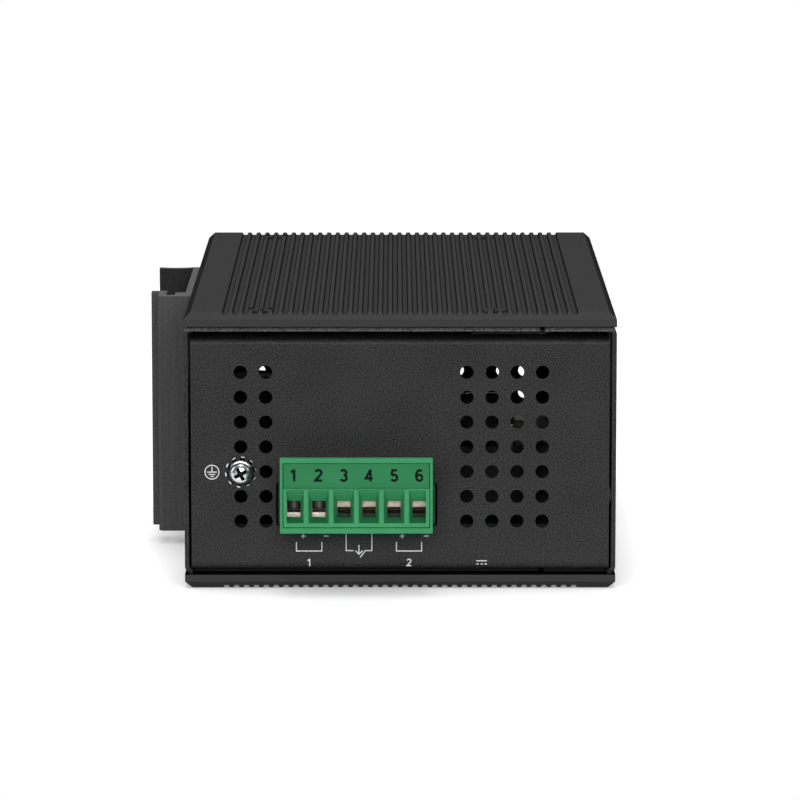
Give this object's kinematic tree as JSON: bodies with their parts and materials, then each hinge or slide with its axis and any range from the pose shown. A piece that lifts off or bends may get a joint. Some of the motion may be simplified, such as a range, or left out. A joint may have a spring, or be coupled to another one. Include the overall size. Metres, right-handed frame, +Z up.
{
  "type": "industrial media converter",
  "caption": "Finned metal box for a mounting rail that links copper and fibre network ports, with a pluggable screw terminal for power on its vented end.",
  "frame": {"origin": "centre of the lower finned cover's outer face, on which the unit lies", "axes": "+X towards the port side, +Y from the power end to the other end, +Z up through the finned sides"},
  "size_m": [0.0981, 0.145, 0.057],
  "materials": {
    "cover_black": "smooth matt black",
    "sheet_black": "sanded black powder coat",
    "clip_black": "black anodised",
    "zinc_steel": "bright zinc plate",
    "black_steel": "black zinc plate",
    "spring_steel": "bare spring steel",
    "green_plastic": "moulded, fine satin",
    "tinned_brass": "tin plate",
    "nickel_steel": "nickel plate",
    "gold_brass": "gold plate",
    "black_plastic": "moulded matt",
    "board_green": "solder resist",
    "clear_plastic": "clear moulding",
    "capacitor_can": "bare aluminium",
    "ferrite": "ferrite and tape"
  },
  "bodies": {
    "housing": {"lower_cover": "cover_black", "upper_cover": "cover_black", "lower_cover_screws": "black_steel", "upper_cover_screws": "black_steel", "chassis": "sheet_black", "front_panel": "sheet_black", "power_panel": "sheet_black", "lower_panel": "sheet_black", "main_board": "board_green", "board_standoffs": "tinned_brass", "board_screws": "zinc_steel", "terminal_header": "green_plastic", "header_pins": "tinned_brass", "earth_washer": "zinc_steel", "earth_spring_washer": "zinc_steel", "earth_screw": "zinc_steel", "earth_nut": "zinc_steel", "rail_clip": "clip_black", "rail_spring": "spring_steel", "clip_screws": "black_steel", "clip_nuts": "zinc_steel", "jack_shield": "nickel_steel", "jack_body": "black_plastic", "jack_contacts": "gold_brass", "fibre_cage": "nickel_steel", "fibre_connector": "black_plastic", "light_pipes": "clear_plastic", "capacitors": "capacitor_can", "transformer": "ferrite", "inductors": "ferrite", "alarm_relay": "black_plastic", "controller_chip": "black_plastic", "chip_heat_sink": "capacitor_can"},
    "plug": {"plug_housing": "green_plastic", "wire_guide": "green_plastic", "plug_contacts": "tinned_brass"},
    "clamp_screw_1": {"clamp_screw_1": "nickel_steel"},
    "clamp_cage_1": {"clamp_cage_1": "nickel_steel"},
    "clamp_screw_2": {"clamp_screw_2": "nickel_steel"},
    "clamp_cage_2": {"clamp_cage_2": "nickel_steel"},
    "clamp_screw_3": {"clamp_screw_3": "nickel_steel"},
    "clamp_cage_3": {"clamp_cage_3": "nickel_steel"},
    "clamp_screw_4": {"clamp_screw_4": "nickel_steel"},
    "clamp_cage_4": {"clamp_cage_4": "nickel_steel"},
    "clamp_screw_5": {"clamp_screw_5": "nickel_steel"},
    "clamp_cage_5": {"clamp_cage_5": "nickel_steel"},
    "clamp_screw_6": {"clamp_screw_6": "nickel_steel"},
    "clamp_cage_6": {"clamp_cage_6": "nickel_steel"}
  },
  "joints": [
    {"name": "plug_pull", "type": "slide", "parent": "housing", "child": "plug", "axis": [0, -1, 0], "range_m": [0, 0.012]},
    {"name": "cage_rise_1", "type": "slide", "parent": "plug", "child": "clamp_cage_1", "axis": [0, 0, 1], "range_m": [-0.0015, 0.0001]},
    {"name": "clamp_turn_1", "type": "hinge", "parent": "plug", "child": "clamp_screw_1", "pos_m": [-0.02156, -0.0721, 0.0235], "axis": [0, 0, -1], "range_deg": [-1200.5, 80.5]},
    {"name": "cage_rise_2", "type": "slide", "parent": "plug", "child": "clamp_cage_2", "axis": [0, 0, 1], "range_m": [-0.0015, 0.0001]},
    {"name": "clamp_turn_2", "type": "hinge", "parent": "plug", "child": "clamp_screw_2", "pos_m": [-0.01648, -0.0721, 0.0235], "axis": [0, 0, -1], "range_deg": [-1200.5, 80.5]},
    {"name": "cage_rise_3", "type": "slide", "parent": "plug", "child": "clamp_cage_3", "axis": [0, 0, 1], "range_m": [0, 0.0016]},
    {"name": "clamp_turn_3", "type": "hinge", "parent": "plug", "child": "clamp_screw_3", "pos_m": [-0.0114, -0.0721, 0.0235], "axis": [0, 0, -1], "range_deg": [-0.5, 1280.5]},
    {"name": "cage_rise_4", "type": "slide", "parent": "plug", "child": "clamp_cage_4", "axis": [0, 0, 1], "range_m": [0, 0.0016]},
    {"name": "clamp_turn_4", "type": "hinge", "parent": "plug", "child": "clamp_screw_4", "pos_m": [-0.00632, -0.0721, 0.0235], "axis": [0, 0, -1], "range_deg": [-0.5, 1280.5]},
    {"name": "cage_rise_5", "type": "slide", "parent": "plug", "child": "clamp_cage_5", "axis": [0, 0, 1], "range_m": [0, 0.0016]},
    {"name": "clamp_turn_5", "type": "hinge", "parent": "plug", "child": "clamp_screw_5", "pos_m": [-0.00124, -0.0721, 0.0235], "axis": [0, 0, -1], "range_deg": [-0.5, 1280.5]},
    {"name": "cage_rise_6", "type": "slide", "parent": "plug", "child": "clamp_cage_6", "axis": [0, 0, 1], "range_m": [0, 0.0016]},
    {"name": "clamp_turn_6", "type": "hinge", "parent": "plug", "child": "clamp_screw_6", "pos_m": [0.00384, -0.0721, 0.0235], "axis": [0, 0, -1], "range_deg": [-0.5, 1280.5]}
  ],
  "couplings": [
    {"joint": "clamp_turn_1", "follows": "cage_rise_1", "rad_per_m": 13963},
    {"joint": "clamp_turn_2", "follows": "cage_rise_2", "rad_per_m": 13963},
    {"joint": "clamp_turn_3", "follows": "cage_rise_3", "rad_per_m": 13963},
    {"joint": "clamp_turn_4", "follows": "cage_rise_4", "rad_per_m": 13963},
    {"joint": "clamp_turn_5", "follows": "cage_rise_5", "rad_per_m": 13963},
    {"joint": "clamp_turn_6", "follows": "cage_rise_6", "rad_per_m": 13963}
  ]
}
